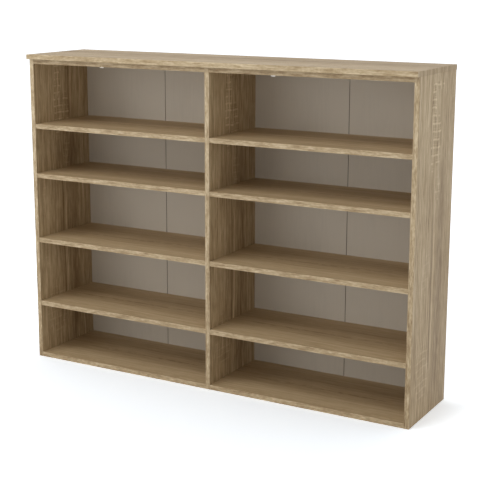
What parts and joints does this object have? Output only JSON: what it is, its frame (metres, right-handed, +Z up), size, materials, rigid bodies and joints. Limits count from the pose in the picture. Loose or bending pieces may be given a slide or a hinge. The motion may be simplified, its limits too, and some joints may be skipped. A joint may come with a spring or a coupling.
{
  "type": "bookcase",
  "caption": "Wide open bookcase: divided into bays by an upright board, with shelves on pins, a thin folding back and an overhanging top.",
  "frame": {"origin": "on the floor, below the centre of the unit's outline", "axes": "+X along the width towards the right seen from the front, +Y to the back, +Z up"},
  "size_m": [1.578, 0.36, 1.2],
  "materials": {
    "top_board": "matt wood-effect foil",
    "upright_board": "matt wood-effect foil",
    "level_board": "matt wood-effect foil",
    "back_board": "printed hardboard",
    "fold_tape": "matt",
    "wall_bracket": "zinc plated",
    "fitting": "zinc plated"
  },
  "bodies": {
    "root": {"back_nails": "fitting", "bracket_screws": "fitting", "cam_bolts": "fitting", "cam_housings": "fitting", "centre_divider": "upright_board", "divider_shelf_pins": "fitting", "double_cam_bolts": "fitting", "left_back_tape": "fold_tape", "left_bottom_panel": "level_board", "left_inner_back": "back_board", "left_inner_bracket": "wall_bracket", "left_outer_back": "back_board", "left_outer_bracket": "wall_bracket", "left_shelf_1": "level_board", "left_shelf_2": "level_board", "left_shelf_3": "level_board", "left_shelf_4": "level_board", "left_side_panel": "upright_board", "left_upper_panel": "level_board", "right_back_tape": "fold_tape", "right_bottom_panel": "level_board", "right_inner_back": "back_board", "right_inner_bracket": "wall_bracket", "right_outer_back": "back_board", "right_outer_bracket": "wall_bracket", "right_shelf_1": "level_board", "right_shelf_2": "level_board", "right_shelf_3": "level_board", "right_shelf_4": "level_board", "right_side_panel": "upright_board", "right_upper_panel": "level_board", "side_shelf_pins": "fitting", "top_panel": "top_board", "top_screws": "fitting"}
  },
  "joints": []
}
